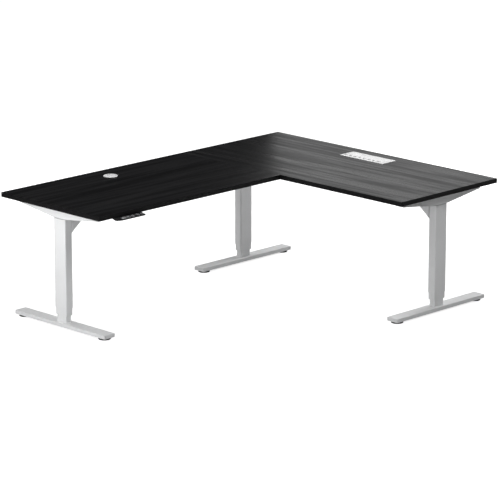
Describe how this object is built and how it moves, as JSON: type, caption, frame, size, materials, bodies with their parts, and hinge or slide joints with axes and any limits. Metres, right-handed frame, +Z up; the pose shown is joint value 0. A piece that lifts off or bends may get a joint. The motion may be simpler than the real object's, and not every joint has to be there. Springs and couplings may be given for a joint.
{
  "type": "standing desk",
  "caption": "L-shaped electric height-adjustable desk: two black wood-grain tops on a white steel frame with three telescopic columns, keypad, cable grommet and cable port.",
  "frame": {"origin": "on the floor under the middle of the whole desk, seen in plan", "axes": "+X along the main top from its free end towards the corner, +Y towards the back edge of the main top, +Z up; the users stand in the inner corner, at -X -Y"},
  "size_m": [2.07, 1.635, 0.6772],
  "materials": {
    "wood_main": "satin",
    "wood_return": "satin",
    "white_steel": "powder coat",
    "white_plastic": "satin",
    "black_plastic": "fine texture",
    "glide_rubber": "matte",
    "display": "gloss",
    "zinc_steel": "zinc plated",
    "brass": "satin"
  },
  "bodies": {
    "base_left": {"foot_left": "white_steel", "foot_bolts_left": "zinc_steel", "inner_tube_left": "white_steel", "drive_nut_left": "brass"},
    "mid_left": {"middle_tube_left": "white_steel", "middle_guide_left": "black_plastic"},
    "top": {"main_top": "wood_main", "return_top": "wood_return", "joining_plates": "white_steel", "side_bracket_left": "white_steel", "side_bracket_corner": "white_steel", "side_bracket_right": "white_steel", "motor_housings": "white_steel", "gear_motors": "zinc_steel", "outer_tube_left": "white_steel", "outer_tube_corner": "white_steel", "outer_tube_right": "white_steel", "outer_bushings": "black_plastic", "main_rails": "white_steel", "return_rails": "white_steel", "control_box": "black_plastic", "keypad_housing": "black_plastic", "keypad_display": "display", "grommet_ring": "white_plastic", "port_frame": "white_plastic", "port_hinge_pin": "zinc_steel", "top_screws": "zinc_steel", "frame_bolts": "zinc_steel"},
    "mid_corner": {"middle_tube_corner": "white_steel", "middle_guide_corner": "black_plastic"},
    "base_corner": {"foot_corner": "white_steel", "foot_bolts_corner": "zinc_steel", "inner_tube_corner": "white_steel", "drive_nut_corner": "brass"},
    "mid_right": {"middle_tube_right": "white_steel", "middle_guide_right": "black_plastic"},
    "base_right": {"foot_right": "white_steel", "foot_bolts_right": "zinc_steel", "inner_tube_right": "white_steel", "drive_nut_right": "brass"},
    "upper_screw_left": {"upper_screw_left": "zinc_steel"},
    "lower_screw_left": {"lower_screw_left": "zinc_steel"},
    "upper_screw_corner": {"upper_screw_corner": "zinc_steel"},
    "lower_screw_corner": {"lower_screw_corner": "zinc_steel"},
    "upper_screw_right": {"upper_screw_right": "zinc_steel"},
    "lower_screw_right": {"lower_screw_right": "zinc_steel"},
    "glide_left_front": {"glide_left_front": "glide_rubber"},
    "glide_left_back": {"glide_left_back": "glide_rubber"},
    "glide_corner_inner": {"glide_corner_inner": "glide_rubber"},
    "glide_corner_outer": {"glide_corner_outer": "glide_rubber"},
    "glide_right_inner": {"glide_right_inner": "glide_rubber"},
    "glide_right_outer": {"glide_right_outer": "glide_rubber"},
    "key_down": {"key_down": "black_plastic"},
    "key_up": {"key_up": "black_plastic"},
    "key_one": {"key_one": "black_plastic"},
    "key_two": {"key_two": "black_plastic"},
    "grommet_cap": {"grommet_cap": "white_plastic"},
    "port_lid": {"port_lid": "white_plastic"}
  },
  "joints": [
    {"name": "lift", "type": "slide", "parent": "base_left", "child": "mid_left", "axis": [0, 0, 1], "range_m": [0, 0.325]},
    {"name": "left_upper_stage", "type": "slide", "parent": "mid_left", "child": "top", "axis": [0, 0, 1], "range_m": [0, 0.325]},
    {"name": "corner_upper_stage", "type": "slide", "parent": "top", "child": "mid_corner", "axis": [0, 0, -1], "range_m": [0, 0.325]},
    {"name": "corner_lower_stage", "type": "slide", "parent": "mid_corner", "child": "base_corner", "axis": [0, 0, -1], "range_m": [0, 0.325]},
    {"name": "right_upper_stage", "type": "slide", "parent": "top", "child": "mid_right", "axis": [0, 0, -1], "range_m": [0, 0.325]},
    {"name": "right_lower_stage", "type": "slide", "parent": "mid_right", "child": "base_right", "axis": [0, 0, -1], "range_m": [0, 0.325]},
    {"name": "upper_screw_turn_left", "type": "hinge", "parent": "top", "child": "upper_screw_left", "pos_m": [-0.945, 0.4375, 0.3], "axis": [0, 0, 1], "range_deg": [0, 11701]},
    {"name": "lower_screw_turn_left", "type": "hinge", "parent": "mid_left", "child": "lower_screw_left", "pos_m": [-0.945, 0.4375, 0.3], "axis": [0, 0, 1], "range_deg": [0, 11701]},
    {"name": "upper_screw_turn_corner", "type": "hinge", "parent": "top", "child": "upper_screw_corner", "pos_m": [0.655, 0.7165, 0.3], "axis": [0, 0, 1], "range_deg": [0, 11701]},
    {"name": "lower_screw_turn_corner", "type": "hinge", "parent": "mid_corner", "child": "lower_screw_corner", "pos_m": [0.655, 0.7165, 0.3], "axis": [0, 0, 1], "range_deg": [0, 11701]},
    {"name": "upper_screw_turn_right", "type": "hinge", "parent": "top", "child": "upper_screw_right", "pos_m": [0.655, -0.735, 0.3], "axis": [0, 0, 1], "range_deg": [0, 11701]},
    {"name": "lower_screw_turn_right", "type": "hinge", "parent": "mid_right", "child": "lower_screw_right", "pos_m": [0.655, -0.735, 0.3], "axis": [0, 0, 1], "range_deg": [0, 11701]},
    {"name": "glide_left_front_level", "type": "slide", "parent": "base_left", "child": "glide_left_front", "axis": [0, 0, -1], "range_m": [0, 0.01]},
    {"name": "glide_left_back_level", "type": "slide", "parent": "base_left", "child": "glide_left_back", "axis": [0, 0, -1], "range_m": [0, 0.01]},
    {"name": "glide_corner_inner_level", "type": "slide", "parent": "base_corner", "child": "glide_corner_inner", "axis": [0, 0, -1], "range_m": [0, 0.01]},
    {"name": "glide_corner_outer_level", "type": "slide", "parent": "base_corner", "child": "glide_corner_outer", "axis": [0, 0, -1], "range_m": [0, 0.01]},
    {"name": "glide_right_inner_level", "type": "slide", "parent": "base_right", "child": "glide_right_inner", "axis": [0, 0, -1], "range_m": [0, 0.01]},
    {"name": "glide_right_outer_level", "type": "slide", "parent": "base_right", "child": "glide_right_outer", "axis": [0, 0, -1], "range_m": [0, 0.01]},
    {"name": "key_down_press", "type": "slide", "parent": "top", "child": "key_down", "axis": [0, 0.1908, -0.9816], "range_m": [0, 0.001], "stiffness_N_per_m": 600},
    {"name": "key_up_press", "type": "slide", "parent": "top", "child": "key_up", "axis": [0, 0.1908, -0.9816], "range_m": [0, 0.001], "stiffness_N_per_m": 600},
    {"name": "key_one_press", "type": "slide", "parent": "top", "child": "key_one", "axis": [0, 0.1908, -0.9816], "range_m": [0, 0.001], "stiffness_N_per_m": 600},
    {"name": "key_two_press", "type": "slide", "parent": "top", "child": "key_two", "axis": [0, 0.1908, -0.9816], "range_m": [0, 0.001], "stiffness_N_per_m": 600},
    {"name": "grommet_cap_turn", "type": "hinge", "parent": "top", "child": "grommet_cap", "pos_m": [-0.38, 0.6855, 0.675], "axis": [0, 0, 1], "continuous": true},
    {"name": "port_lid_hinge", "type": "hinge", "parent": "top", "child": "port_lid", "pos_m": [0.946, 0, 0.673], "axis": [0, 1, 0], "range_deg": [0, 90]}
  ],
  "couplings": [
    {"joint": "left_upper_stage", "follows": "lift", "ratio": 1},
    {"joint": "corner_upper_stage", "follows": "lift", "ratio": 1},
    {"joint": "corner_lower_stage", "follows": "lift", "ratio": 1},
    {"joint": "right_upper_stage", "follows": "lift", "ratio": 1},
    {"joint": "right_lower_stage", "follows": "lift", "ratio": 1},
    {"joint": "upper_screw_turn_left", "follows": "lift", "rad_per_m": 628.32},
    {"joint": "lower_screw_turn_left", "follows": "lift", "rad_per_m": 628.32},
    {"joint": "upper_screw_turn_corner", "follows": "lift", "rad_per_m": 628.32},
    {"joint": "lower_screw_turn_corner", "follows": "lift", "rad_per_m": 628.32},
    {"joint": "upper_screw_turn_right", "follows": "lift", "rad_per_m": 628.32},
    {"joint": "lower_screw_turn_right", "follows": "lift", "rad_per_m": 628.32}
  ]
}
